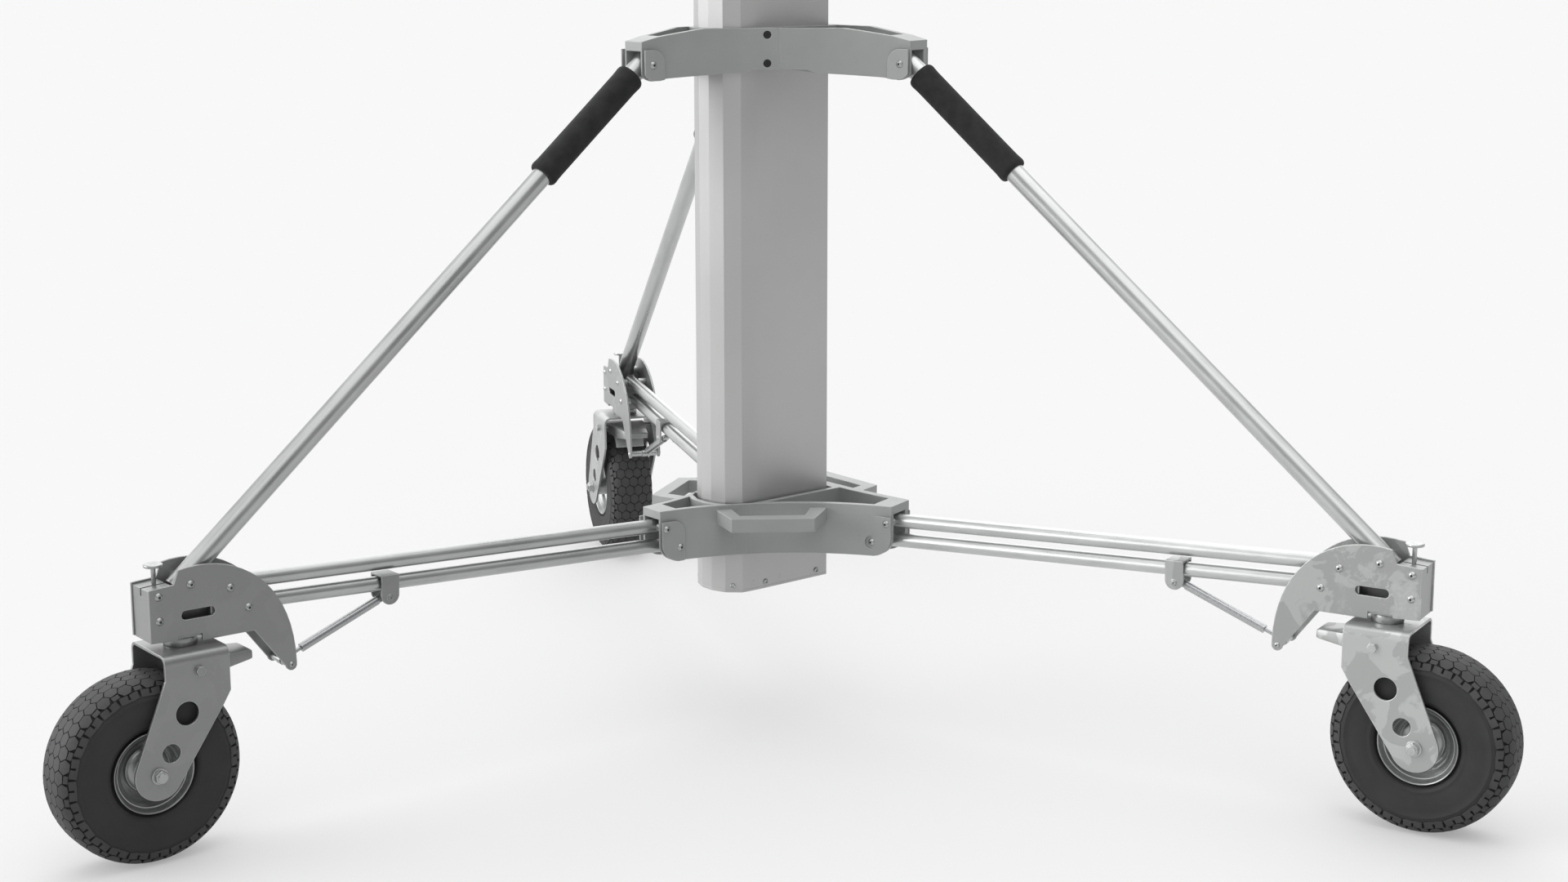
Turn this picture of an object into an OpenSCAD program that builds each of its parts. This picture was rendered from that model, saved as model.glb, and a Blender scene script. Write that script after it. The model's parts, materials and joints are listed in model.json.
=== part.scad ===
// Roller stand for heavy lights: a telescoping column on three braced legs,
// each with a braked pneumatic swivel caster.
// Millimetres, +Z up, floor at z = 0, +X along the front leg.

/* [Layout] */
// Turn from the front leg to each rear leg, degrees
rear_turn = 110.25; // [105:0.25:118]
// How much closer to the column the two rear legs start
rear_inset = 25.8; // [15:0.2:35]
// Distance from the legs' meeting point to the middle of the footprint
footprint_shift = 383; // [370:1:396]

/* [Column] */
// Height of the column's foot above the floor
column_foot_z = 220; // [200:1:240]
// Height of the column's top above the floor
column_top_z = 1700; // [1600:10:1800]
// Wall thickness of the column
column_wall = 4; // [3:0.5:5]
// Wall thickness of the mast sections
mast_wall = 3; // [2.5:0.5:4]
// How far the lower mast section stands out of the column at rest
lower_mast_out = 70; // [50:5:120]
// How far the upper mast section stands out of the lower one at rest
upper_mast_out = 60; // [50:5:120]
// Bore of the head's socket
socket_d = 28.6; // [28.2:0.1:29]

/* [Collars] */
// Top of the lower collar
lower_collar_z = 359; // [355:1:363]
// Height of the lower collar
lower_collar_h = 80; // [76:1:84]
// Height of the upper collar's crown
upper_collar_z = 1084; // [1078:1:1090]
// Half width of a collar's arms
arm_half = 30; // [28:0.5:32]
// Half width of the slot between an arm's cheeks
cheek_gap = 18.7; // [18:0.1:20]
// Diameter of the pivot bolts
bolt_d = 8; // [7:0.5:9]

/* [Legs] */
// Diameter of the two parallel leg bars
bar_d = 22; // [20:1:24]
// Diameter of the brace tube
brace_d = 30; // [28:1:32]
// Diameter of the foam grip on the brace
grip_d = 43; // [40:1:46]
// Half the width over a wheel bracket's plates
bracket_half = 29.5; // [28:0.5:31]
// Thickness of the bracket plates
plate_t = 3.5; // [3:0.5:4]

/* [Casters] */
// Diameter of the tyre
tyre_d = 260; // [250:2:270]
// Width of the tyre
tyre_w = 84; // [78:1:88]
// Diameter of the rim's flange
rim_d = 108; // [100:1:116]
// Distance from the swivel axis to the axle
trail = 62.5; // [58:0.5:64]
// Half the width over the fork
fork_half = 53.5; // [52:0.5:55]
// Plate thickness of the fork
fork_t = 4; // [3:0.5:5]

/* [Hidden] */
$fn = 64;
eps = 0.01;
run = 0.05;

// Each leg's turn and start, front leg first
leg_turn = [0, rear_turn, -rear_turn];
leg_shift = [0, -rear_inset, -rear_inset];

// Pivots in a leg's own plane, as [distance out, height]
upper_pin = [239.5, 332];
pin_step = [25.3, 31.6];
lower_pin = upper_pin - pin_step;
upper_end = [957.5, 362.5];
lower_end = upper_end - pin_step;
brace_pin = [255.5, 1033];
brace_foot = [1014, 376.5];
tail_pin = [872.5, 238.5];
clamp_r = 708;
kingpin_r = 1020;
axle_z = tyre_d / 2;
axle_pin = [kingpin_r + trail, axle_z];
pedal_pin = [1018, 264];

function between(a, b, k) = a + (b - a) * k;
function angle_of(a, b) = atan2(b[1] - a[1], b[0] - a[0]);
function span(a, b) = norm(b - a);
function unit(v) = v / norm(v);
function across(v) = [v[1], -v[0]];

bar_slope = angle_of(upper_pin, upper_end);
bar_len = span(upper_pin, upper_end);
clamp_bar = between(lower_pin, lower_end,
    (clamp_r - lower_pin[0]) / (lower_end[0] - lower_pin[0]));
clamp_drop = 18.5;
clamp_pin = clamp_bar - [0, clamp_drop];

// Column outline: a faceted nose towards the front leg, a long body and a flat back
column_half = [[142, 12.4], [133, 36.5], [112.5, 53.7], [82.5, 54.2], [-60, 47.7]];
column_pts = concat(
    column_half,
    [for (k = [4:-1:0]) [column_half[k][0], -column_half[k][1]]]);

// Outline moved outwards by e (inwards where e is negative), with mitred corners
function grown(pts, e) = [
    for (k = [0:len(pts) - 1])
        let (
            n = len(pts),
            into = unit(pts[k] - pts[(k + n - 1) % n]),
            out = unit(pts[(k + 1) % n] - pts[k]),
            a = -across(into),
            b = -across(out))
        pts[k] - (a + b) * e / (1 + a * b)
];

// Curve from a to d, pulled towards b and c
function bezier(a, b, c, d, n) = [
    for (k = [0:n])
        let (t = k / n, s = 1 - t)
        a * s ^ 3 + b * 3 * s ^ 2 * t + c * 3 * s * t ^ 2 + d * t ^ 3
];

module in_stand() translate([-footprint_shift, 0, 0]) children();

module in_leg(n)
    in_stand()
        rotate([0, 0, leg_turn[n - 1]])
            translate([leg_shift[n - 1], 0, 0])
                children();

// Upright slab in the leg's plane, between two distances across it
module slab(from, to)
    translate([0, to, 0])
        rotate([90, 0, 0])
            linear_extrude(to - from)
                children();

// Round bar across the leg's plane, centred on it
module cross_bar(at, d, half)
    translate([at[0], half, at[1]])
        rotate([90, 0, 0])
            cylinder(d = d, h = 2 * half);

// Sleeve on both sides of the leg's plane
module cross_sleeves(at, d, bore, inner, outer)
    for (side = [-1, 1])
        translate([at[0], side * (inner + outer) / 2, at[1]])
            rotate([90, 0, 0])
                difference() {
                    cylinder(d = d, h = outer - inner, center = true);
                    cylinder(d = bore, h = outer - inner + 1, center = true);
                }

// Domed socket-head screws on both faces, joined by their shank
module cross_bolt(at, d, half) {
    cross_bar(at, d, half + 1);
    for (side = [-1, 1])
        translate([at[0], side * half, at[1]])
            rotate([-90 * side, 0, 0])
                bolt_head(d);
}

module bolt_head(d)
    difference() {
        rotate_extrude()
            intersection() {
                translate([0, -d * 0.62])
                    circle(d = d * 2.1);
                square([d * 0.95, d]);
            }
        translate([0, 0, d * 0.14])
            cylinder(d = d * 0.55, h = d, $fn = 6);
    }

// Places a child lying along +X at a point of the leg's plane, turned by a slope
module along(at, slope)
    translate([at[0], 0, at[1]])
        rotate([0, -slope, 0])
            children();

// ---------- Column and masts ----------

module section(e) polygon(grown(column_pts, e));

module tube_section(e, wall)
    difference() {
        section(e);
        section(e - wall);
    }

module column()
    color([0.66, 0.66, 0.66])
        in_stand()
            difference() {
                translate([0, 0, column_foot_z])
                    linear_extrude(column_top_z - column_foot_z)
                        tube_section(0, column_wall);
                foot_screws() cylinder(d = 5, h = 30, center = true);
            }

// The column foot's three screws on each side
module foot_screws()
    for (side = [-1, 1], x = [92, 40, -40])
        translate([x, side * 50, column_foot_z + 9])
            rotate([90, 0, 0])
                children();

module column_foot()
    color([0.25, 0.25, 0.26])
        in_stand() {
            difference() {
                union() {
                    translate([0, 0, column_foot_z - 4])
                        linear_extrude(4)
                            section(0);
                    translate([0, 0, column_foot_z])
                        linear_extrude(22)
                            tube_section(-column_wall - 0.2, 6);
                }
                foot_screws() cylinder(d = 4, h = 16, center = true);
            }
        }

// Guide frame round the column's top, with a lip that closes in on the mast
module guide_frame(e, inner, lip, h)
    difference() {
        linear_extrude(h)
            section(e + 6);
        translate([0, 0, -1])
            linear_extrude(h - lip + 1)
                section(e + 0.2);
        translate([0, 0, -1])
            linear_extrude(h + 2)
                section(inner + 0.4);
    }

lower_mast_e = -14;
upper_mast_e = -27;

module column_cap()
    color([0.28, 0.29, 0.3])
        in_stand()
            translate([0, 0, column_top_z - 46])
                guide_frame(0, lower_mast_e, 14, 60);

module mast_lower()
    color([0.72, 0.72, 0.72])
        in_stand() {
            top = column_top_z + 14 + lower_mast_out;
            translate([0, 0, 430])
                linear_extrude(top - 430)
                    tube_section(lower_mast_e, mast_wall);
            translate([0, 0, top - 32])
                guide_frame(lower_mast_e, upper_mast_e, 10, 42);
            translate([0, 0, 430])
                linear_extrude(60)
                    difference() {
                        section(-column_wall - 1.2);
                        section(lower_mast_e - eps);
                    }
        }

module mast_upper()
    color([0.76, 0.76, 0.76])
        in_stand() {
            translate([0, 0, 520])
                linear_extrude(head_z - 520)
                    tube_section(upper_mast_e, mast_wall);
            translate([0, 0, 520])
                linear_extrude(60)
                    difference() {
                        section(lower_mast_e - mast_wall - 1.2);
                        section(upper_mast_e - eps);
                    }
        }

head_z = column_top_z + 14 + lower_mast_out + 10 + upper_mast_out;
head_x = 30;

// Head: a cap on the upper mast with an upright socket for a spigot and its T-screw
module head()
    color([0.3, 0.31, 0.32])
        in_stand() {
            difference() {
                union() {
                    translate([0, 0, head_z])
                        linear_extrude(12)
                            section(upper_mast_e + 3);
                    translate([0, 0, head_z - 30])
                        linear_extrude(30)
                            section(upper_mast_e - mast_wall - 0.2);
                    translate([head_x, 0, head_z])
                        cylinder(d = 46, h = 74);
                    translate([head_x, 0, head_z + 50])
                        rotate([0, -90, 0])
                            cylinder(d = 22, h = 33);
                }
                translate([head_x, 0, head_z - 16])
                    cylinder(d = socket_d, h = 100);
                translate([head_x - 10, 0, head_z + 50])
                    rotate([0, -90, 0])
                        cylinder(d = 10, h = 40);
            }
            translate([head_x - socket_d / 2 - 3, 0, head_z + 50])
                rotate([0, -90, 0]) {
                    cylinder(d = 10, h = 52);
                    translate([0, 0, 48])
                        cylinder(d = 16, h = 12);
                    translate([0, 0, 54])
                        rotate([90, 0, 0])
                            cylinder(d = 8, h = 76, center = true);
                }
        }

// ---------- Collars ----------

// Lobed outline: an arm over each leg and hollow curved faces between them
module lobes(reach, inset)
    difference() {
        union() {
            polygon([for (k = [0:2], side = [-1, 1]) arm_corner(k, side, reach, inset)]);
            for (k = [0:2])
                rotate([0, 0, leg_turn[k]])
                    translate([0, -arm_half + inset])
                        square([reach + leg_shift[k] - inset, 2 * (arm_half - inset)]);
        }
        for (side = [-1, 1])
            rotate([0, 0, side * rear_turn / 2])
                translate([front_face_r + front_hollow_r, 0])
                    circle(r = front_hollow_r + inset, $fn = 180);
        translate([-rear_face_r - rear_hollow_r, 0])
            circle(r = rear_hollow_r + inset + (inset > 0 ? 4 : 0), $fn = 240);
    }

front_face_r = 109;
front_hollow_r = 380;
rear_face_r = 86;
rear_hollow_r = 950;

function turned(p, a) = [p[0] * cos(a) - p[1] * sin(a), p[0] * sin(a) + p[1] * cos(a)];
function arm_corner(k, side, reach, inset) = turned(
    [reach + leg_shift[k] - inset, side * (arm_half - inset)], leg_turn[k]);

// Side outline of an arm's end: the cap overhangs the rounded cheeks
module cheek_side(bottom, top, end, round_r)
    union() {
        translate([0, bottom + round_r])
            square([end, top - bottom - round_r]);
        translate([0, bottom])
            square([end - round_r, round_r + 1]);
        translate([end - round_r, bottom + round_r])
            circle(r = round_r);
    }

lower_reach = 246;
lower_end_r = 252;
lower_bottom = lower_collar_z - lower_collar_h;
collar_gap = 7;

// One grip bar: a flat-topped trapezoid loop standing off a collar face
module face_handle(turn, aside, face_r, out_r, half_out, half_in, z, h)
    rotate([0, 0, turn])
        translate([0, aside, z])
            linear_extrude(h)
                difference() {
                    polygon([
                        [face_r, -half_in], [out_r, -half_out],
                        [out_r, half_out], [face_r, half_in]]);
                    polygon([
                        [face_r - 1, -half_in + 26], [out_r - 22, -half_out + 13],
                        [out_r - 22, half_out - 13], [face_r - 1, half_in - 26]]);
                }

module lower_collar()
    color([0.49, 0.5, 0.49])
        in_stand() {
            difference() {
                union() {
                    difference() {
                        translate([0, 0, lower_bottom])
                            linear_extrude(lower_collar_h)
                                lobes(lower_reach, 0);
                        translate([0, 0, lower_bottom + 8])
                            linear_extrude(lower_collar_h)
                                collar_pockets();
                    }
                    for (k = [0:2])
                        rotate([0, 0, leg_turn[k]])
                            translate([leg_shift[k], 0, 0])
                                arm_pads(206, lower_end_r - 3, lower_bottom, 343);
                }
                translate([0, 0, lower_bottom - 1])
                    linear_extrude(lower_collar_h + 2)
                        section(collar_gap);
                for (k = [0:2])
                    rotate([0, 0, leg_turn[k]])
                        translate([leg_shift[k], 0, 0]) {
                            lower_arm_cuts();
                            for (p = [upper_pin, lower_pin]) {
                                cross_bar(p, bolt_d + 0.1, 40);
                                bolt_seats(p);
                            }
                        }
            }
            guide_pads();
            for (side = [-1, 1])
                face_handle(side * rear_turn / 2, -side * 18, front_face_r + 4, 184,
                    63, 88, 331, 21);
            face_handle(180, 0, rear_face_r - 4, 152, 63, 88, 331, 21);
        }

// Pads between the ring and the column, two on each long side and one at each end
module guide_pads()
    for (z = [lower_bottom + 6, lower_collar_z - 26])
        translate([0, 0, z])
            linear_extrude(20)
                difference() {
                    intersection() {
                        section(collar_gap + 1);
                        union() {
                            for (x = [60, -30])
                                translate([x, -80])
                                    square([16, 160]);
                            translate([-80, -12])
                                square([240, 24]);
                        }
                    }
                    section(0.02);
                }

// Open pockets between the ring and the faces, one in each arm
module collar_pockets()
    difference() {
        lobes(lower_reach, 9);
        section(collar_gap + 8);
        for (k = [0:2])
            rotate([0, 0, leg_turn[k]])
                translate([214 + leg_shift[k], -60])
                    square([60, 120]);
    }

// Slot for the bars under the cap, and the rounded lower corner of the cheeks
module lower_arm_cuts() {
    translate([186, -cheek_gap, lower_bottom - 1])
        cube([80, 2 * cheek_gap, lower_collar_z - 13 - lower_bottom + 1]);
    slab(-60, 60)
        difference() {
            translate([lower_end_r - 33, lower_bottom - 2])
                square([40, 36]);
            translate([lower_end_r - 37.5, lower_bottom + 34])
                circle(r = 34);
        }
}

// Seats cut round the heads of a pivot bolt, clear of the faces beside the arm
module bolt_seats(at)
    for (side = [-1, 1])
        translate([at[0], side * (arm_half + 1.2), at[1]])
            rotate([-90 * side, 0, 0])
                cylinder(d = 20, h = 30);

// Raised D-shaped pad on the outside of each cheek
module arm_pads(from, to, bottom, top)
    for (side = [-1, 1])
        slab(side > 0 ? arm_half - 1 : -arm_half - 1.2, side > 0 ? arm_half + 1.2 : -arm_half + 1) {
            translate([from, bottom])
                square([to - from, top - bottom - 20]);
            translate([from + 20, bottom + 1])
                square([to - from - 20, top - bottom - 1]);
            translate([from + 20, top - 20])
                circle(r = 20);
        }

upper_bottom = 1008;
upper_reach = 269;

module upper_collar_blank()
    difference() {
        union() {
            difference() {
                translate([0, 0, upper_bottom])
                    linear_extrude(upper_collar_z - upper_bottom)
                        lobes(upper_reach, 0);
                translate([0, 0, 1030])
                    linear_extrude(80)
                        difference() {
                            lobes(upper_reach, 9);
                            section(9);
                            for (k = [0:2])
                                rotate([0, 0, leg_turn[k]])
                                    translate([234 + leg_shift[k], -60])
                                        square([60, 120]);
                        }
            }
            for (k = [0:2])
                rotate([0, 0, leg_turn[k]])
                    translate([leg_shift[k], 0, 0])
                        arm_pads(235, 272, 1010, 1055);
        }
        translate([0, 0, upper_bottom - 1])
            linear_extrude(upper_collar_z)
                section(0.1);
        for (k = [0:2])
            rotate([0, 0, leg_turn[k]])
                translate([leg_shift[k], 0, 0])
                    upper_arm_cuts();
    }

// Sloping crown and belly of an upper arm, its slot, its rounded cheek and pivot bore
module upper_arm_cuts() {
    slab(-90, 90)
        polygon([[168, upper_collar_z + 1], [168, upper_collar_z], [242, 1073],
            [276, 1065], [300, 1065], [300, upper_collar_z + 1]]);
    slab(-90, 90)
        polygon([[60, upper_bottom - 1], [60, 1021.5], [226, 1012.5], [251, 1009],
            [251, upper_bottom - 1]]);
    translate([200, -cheek_gap, upper_bottom - 1])
        cube([90, 2 * cheek_gap, 1053 - upper_bottom + 1]);
    slab(-60, 60)
        difference() {
            translate([251, upper_bottom - 2])
                square([40, 30]);
            translate([250, 1034])
                circle(r = 25);
        }
    cross_bar(brace_pin, bolt_d + 0.1, 40);
    bolt_seats(brace_pin);
}

// Everything on the front leg's side of the two clamp splits
module front_side(gap)
    translate([0, 0, upper_bottom - 2])
        linear_extrude(120)
            polygon([
                [4, 0],
                turned([400, -6.6 - gap], rear_turn / 2),
                [500, 0],
                turned([400, 6.6 + gap], -rear_turn / 2)]);

module clamp_screws()
    for (side = [-1, 1], z = [1074, 1032])
        rotate([0, 0, side * rear_turn / 2])
            translate([front_face_r - 3, -side * 22, z])
                rotate([0, 90, 0])
                    children();

module upper_collar_front()
    color([0.52, 0.53, 0.52])
        in_stand()
            difference() {
                intersection() {
                    upper_collar_blank();
                    front_side(0.6);
                }
                clamp_screws() {
                    cylinder(d = 12, h = 20);
                    translate([0, 0, -40])
                        cylinder(d = 6, h = 50);
                }
            }

module upper_collar_rear()
    color([0.52, 0.53, 0.52])
        in_stand()
            difference() {
                upper_collar_blank();
                front_side(0);
            }

module collar_bolts()
    color([0.78, 0.78, 0.78])
        for (n = [1:3])
            in_leg(n) {
                for (p = [upper_pin, lower_pin]) {
                    cross_bolt(p, bolt_d, arm_half + 1.2);
                    cross_sleeves(p, 14, bolt_d - 0.1, bar_d / 2 + 0.3, cheek_gap);
                }
                cross_bolt(brace_pin, bolt_d, arm_half + 1.2);
                cross_sleeves(brace_pin, 16, bolt_d - 0.1, brace_d / 2 + 0.3, cheek_gap);
            }

// ---------- Winch ----------

winch_z = 1290;

module winch()
    color([0.3, 0.31, 0.32])
        in_stand()
            translate([-60, 0, winch_z])
                difference() {
                    union() {
                        translate([-6, -42, -70])
                            cube([6, 84, 160]);
                        translate([-74, -34, -52])
                            cube([70, 68, 104]);
                        translate([-39, 0, 0])
                            rotate([90, 0, 0])
                                cylinder(d = 78, h = 76, center = true);
                        translate([-39, -38, 0])
                            rotate([90, 0, 0])
                                cylinder(d = 30, h = 10);
                    }
                    translate([-39, 0, 0])
                        rotate([90, 0, 0])
                            cylinder(d = 14.1, h = 120, center = true);
                }

module crank()
    color([0.6, 0.6, 0.6])
        in_stand()
            translate([-99, 0, winch_z]) {
                rotate([90, 0, 0])
                    translate([0, 0, -36])
                        cylinder(d = 14, h = 106);
                translate([0, -66, 0])
                    slab(-4, 4) {
                        circle(d = 30);
                        translate([0, -9])
                            square([170, 18]);
                        translate([170, 0])
                            circle(d = 26);
                    }
                translate([170, -66, 0])
                    rotate([90, 0, 0]) {
                        cylinder(d = 10, h = 100);
                        translate([0, 0, 10])
                            cylinder(d = 30, h = 88);
                    }
            }

// ---------- Leg bars ----------

// Tube along +X with solid ends, and a cross bore at each end
module end_bored_tube(length, d, before, after, wall)
    difference() {
        translate([-before, 0, 0])
            rotate([0, 90, 0])
                cylinder(d = d, h = length + before + after);
        translate([24, 0, 0])
            rotate([0, 90, 0])
                cylinder(d = d - 2 * wall, h = length - 48);
        for (x = [0, length])
            translate([x, 0, 0])
                rotate([90, 0, 0])
                    cylinder(d = bolt_d + 2 * run, h = d + 2, center = true);
    }

module upper_bar(n)
    color([0.78, 0.79, 0.79])
        in_leg(n)
            along(upper_pin, bar_slope)
                end_bored_tube(bar_len, bar_d, 7, 14, 2);

module lower_bar(n)
    color([0.78, 0.79, 0.79])
        in_leg(n)
            along(lower_pin, bar_slope)
                end_bored_tube(bar_len, bar_d, 7, 14, 2);

// Bent plate saddle over the lower bar, its legs hanging down on both sides
module strut_clamp(n)
    color([0.6, 0.61, 0.6])
        in_leg(n)
            along(clamp_bar, bar_slope)
                difference() {
                    union() {
                        difference() {
                            translate([-14, -16, -15])
                                cube([28, 32, 29]);
                            translate([-15, -13, -16])
                                cube([30, 26, 27]);
                        }
                        for (side = [-1, 1])
                            slab(side > 0 ? 13 : -16, side > 0 ? 16 : -13)
                                translate([0, -15])
                                    circle(r = 14);
                        for (side = [-1, 1])
                            slab(side > 0 ? bar_d / 2 - 0.4 : -13.2, side > 0 ? 13.2 : -bar_d / 2 + 0.4)
                                square([12, 8], center = true);
                        translate([-6, -4, bar_d / 2 - 0.4])
                            cube([12, 8, 1]);
                        for (side = [-1, 1])
                            translate([0, side * 16, -clamp_drop])
                                rotate([-90 * side, 0, 0])
                                    bolt_head(6);
                    }
                    rotate([0, 90, 0])
                        cylinder(d = bar_d, h = 40, center = true);
                }

// ---------- Wheel bracket ----------

plate_back = bezier([1030.5, 398.5], [948, 414], [866, 362], [864.5, 243], 18);

module plate_outline()
    difference() {
        union() {
            polygon(concat(
                [[1036, 302.5], [1074, 304.5], [1073.5, 377], [1038, 379.5]],
                plate_back,
                [[864.5, 238], [881, 238], [925, 297], [1036, 297]]));
            translate(tail_pin)
                circle(r = 8);
        }
        translate([1000.5, 290])
            square([35.5, 17]);
        translate([987.5, 329.1])
            square([35.5, 12.8]);
        for (r = [987.5, 1023])
            translate([r, 335.5])
                circle(r = 6.4);
    }

module bracket_plates(n)
    color([0.62, 0.63, 0.62])
        in_leg(n)
            for (side = [-1, 1])
                difference() {
                    slab(side > 0 ? bracket_half - plate_t : -bracket_half,
                        side > 0 ? bracket_half : -bracket_half + plate_t)
                        plate_outline();
                    for (p = bracket_bolt_places)
                        cross_bar(p, bolt_size(p), 40);
                }

bracket_bolt_places = [
    [1060, 366.5], [1060.2, 333], brace_foot, upper_end, lower_end, tail_pin];

function bolt_size(p) = p == tail_pin ? 6 : bolt_d;

block_half = bracket_half - plate_t;

// Cast block between the plates: it carries the swivel bearing and the pull pin
module bracket_block(n)
    color([0.7, 0.71, 0.7])
        in_leg(n)
            difference() {
                slab(-block_half, block_half)
                    polygon([
                        [984, 303.5], [1072, 303.5], [1072, 375], [1037.8, 377],
                        [1037.8, 350], [984, 350]]);
                translate([kingpin_r, 0, 303.4])
                    cylinder(d = 16.1, h = 34);
                translate([pull_pin_r, 0, 340])
                    cylinder(d = 5.7, h = 60);
                for (p = [bracket_bolt_places[0], bracket_bolt_places[1]])
                    cross_bar(p, bolt_d, 40);
                translate([1062, -1.5, 366])
                    cube([20, 3, 20]);
                translate([1036, -1.5, 371])
                    cube([12, 3, 20]);
            }

pull_pin_r = 1053;

module bracket_bolts(n)
    color([0.8, 0.8, 0.8])
        in_leg(n) {
            for (p = bracket_bolt_places)
                cross_bolt(p, bolt_size(p), bracket_half);
            for (p = [upper_end, lower_end])
                cross_sleeves(p, 14, bolt_d - 0.1, bar_d / 2 + 0.3, block_half);
            cross_sleeves(brace_foot, 16, bolt_d - 0.1, brace_d / 2 + 0.5, block_half);
            cross_sleeves(tail_pin, 11, 5.9, 5.4, block_half);
        }

module pull_pin(n)
    color([0.8, 0.8, 0.8])
        in_leg(n)
            translate([pull_pin_r, 0, 0]) {
                translate([0, 0, 342])
                    cylinder(d = 5.6, h = 60);
                translate([0, 0, 401])
                    cylinder(d = 26, h = 4);
            }

// ---------- Brace ----------

brace_slope = angle_of(brace_pin, brace_foot);
brace_len = span(brace_pin, brace_foot);

module brace_tube(n)
    color([0.8, 0.81, 0.81])
        in_leg(n)
            along(brace_pin, brace_slope)
                difference() {
                    translate([-8, 0, 0])
                        rotate([0, 90, 0])
                            cylinder(d = brace_d, h = brace_len + 8 + 14);
                    translate([30, 0, 0])
                        rotate([0, 90, 0])
                            cylinder(d = brace_d - 4, h = brace_len - 70);
                    rotate([90, 0, 0])
                        cylinder(d = bolt_d + 2 * run, h = 40, center = true);
                    translate([brace_len, 0, 0])
                        rotate([90, 0, 0])
                            cylinder(d = bolt_d + 1.4, h = 40, center = true);
                    translate([brace_len, -20, -bolt_d / 2 - 0.7])
                        cube([30, 40, bolt_d + 1.4]);
                }

module brace_grip(n)
    color([0.12, 0.12, 0.12])
        in_leg(n)
            along(brace_pin, brace_slope)
                translate([24, 0, 0])
                    rotate([0, 90, 0])
                        rotate_extrude()
                            translate([brace_d / 2, 0])
                                grip_wall((grip_d - brace_d) / 2, 209);

module grip_wall(t, length) {
    translate([0, 0])
        square([t - 2.5, length]);
    translate([0, 2.5])
        square([t, length - 5]);
    for (y = [2.5, length - 2.5])
        translate([t - 2.5, y])
            circle(r = 2.5, $fn = 32);
}

// ---------- Gas strut ----------

strut_slope = angle_of(clamp_pin, tail_pin);
strut_len = span(clamp_pin, tail_pin);

module strut_cylinder(n)
    color([0.68, 0.69, 0.7])
        in_leg(n)
            along(clamp_pin, strut_slope) {
                slab(-4, 4)
                    difference() {
                        union() {
                            circle(r = 4.7);
                            translate([0, -4])
                                square([17, 8]);
                        }
                        circle(d = 4);
                    }
                difference() {
                    translate([15, 0, 0])
                        rotate([0, 90, 0])
                            cylinder(d = 13, h = 130);
                    translate([22, 0, 0])
                        rotate([0, 90, 0])
                            cylinder(d = 6.1, h = 140);
                }
            }

module strut_rod(n)
    color([0.75, 0.75, 0.76])
        in_leg(n)
            along(clamp_pin, strut_slope)
                difference() {
                    union() {
                        translate([26, 0, 0])
                            rotate([0, 90, 0])
                                cylinder(d = 6, h = strut_len - 32);
                        translate([strut_len, 0, 0])
                            rotate([90, 0, 0])
                                cylinder(d = 13, h = 10, center = true);
                    }
                    translate([strut_len, 0, 0])
                        rotate([90, 0, 0])
                            cylinder(d = 6.1, h = 20, center = true);
                }

// ---------- Caster ----------

fork_top = 290;
fork_bend = 12;

// U-shaped cross section of the fork, open below
module fork_section(inset)
    union() {
        translate([-fork_half + inset, 60])
            square([2 * (fork_half - inset), fork_top - fork_bend - 60]);
        translate([-fork_half + fork_bend, fork_top - fork_bend - 1])
            square([2 * (fork_half - fork_bend), fork_bend + 1 - inset]);
        for (side = [-1, 1])
            translate([side * (fork_half - fork_bend), fork_top - fork_bend])
                circle(r = fork_bend - inset);
    }

module fork_side()
    union() {
        polygon([
            [975, fork_top + 1], [1067, fork_top + 1], [1067, 257],
            axle_pin + [31.5, 12.8], axle_pin - [30.5, 15], [986, 211], [975, 229]]);
        translate(axle_pin)
            circle(r = 34);
    }

module caster_fork(n)
    color([0.62, 0.63, 0.62])
        in_leg(n) {
            difference() {
                intersection() {
                    translate([960, 0, 0])
                        rotate([90, 0, 90])
                            linear_extrude(170)
                                difference() {
                                    fork_section(0);
                                    fork_section(fork_t);
                                }
                    slab(-60, 60) fork_side();
                }
                cross_bar([1038.5, 208], 33, 70);
                cross_bar([1064, 157.5], 26, 70);
                cross_bar(axle_pin, 12.1, 70);
                cross_bar(pedal_pin, 8.1, 70);
            }
            translate([kingpin_r, 0, fork_top - 1])
                cylinder(d = 16, h = 46);
            translate([kingpin_r, 0, fork_top - 0.5])
                cylinder(d = 44, h = 6.5);
            translate([kingpin_r, 0, fork_top + 5])
                cylinder(d = 30, h = 8.3);
            cross_bar(pedal_pin, 8, fork_half + 1);
            for (side = [-1, 1])
                translate([pedal_pin[0], side * fork_half, pedal_pin[1]])
                    rotate([-90 * side, 0, 0])
                        cylinder(d = 14, h = 5.5, $fn = 6);
        }

module axle(n)
    color([0.75, 0.75, 0.75])
        in_leg(n) {
            cross_bar(axle_pin, 12, fork_half + 12);
            for (side = [-1, 1])
                translate([axle_pin[0], side * fork_half, axle_pin[1]])
                    rotate([-90 * side, 0, 0]) {
                        cylinder(d = 24, h = 2.2);
                        cylinder(d = 20, h = 10, $fn = 6);
                    }
        }

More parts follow.
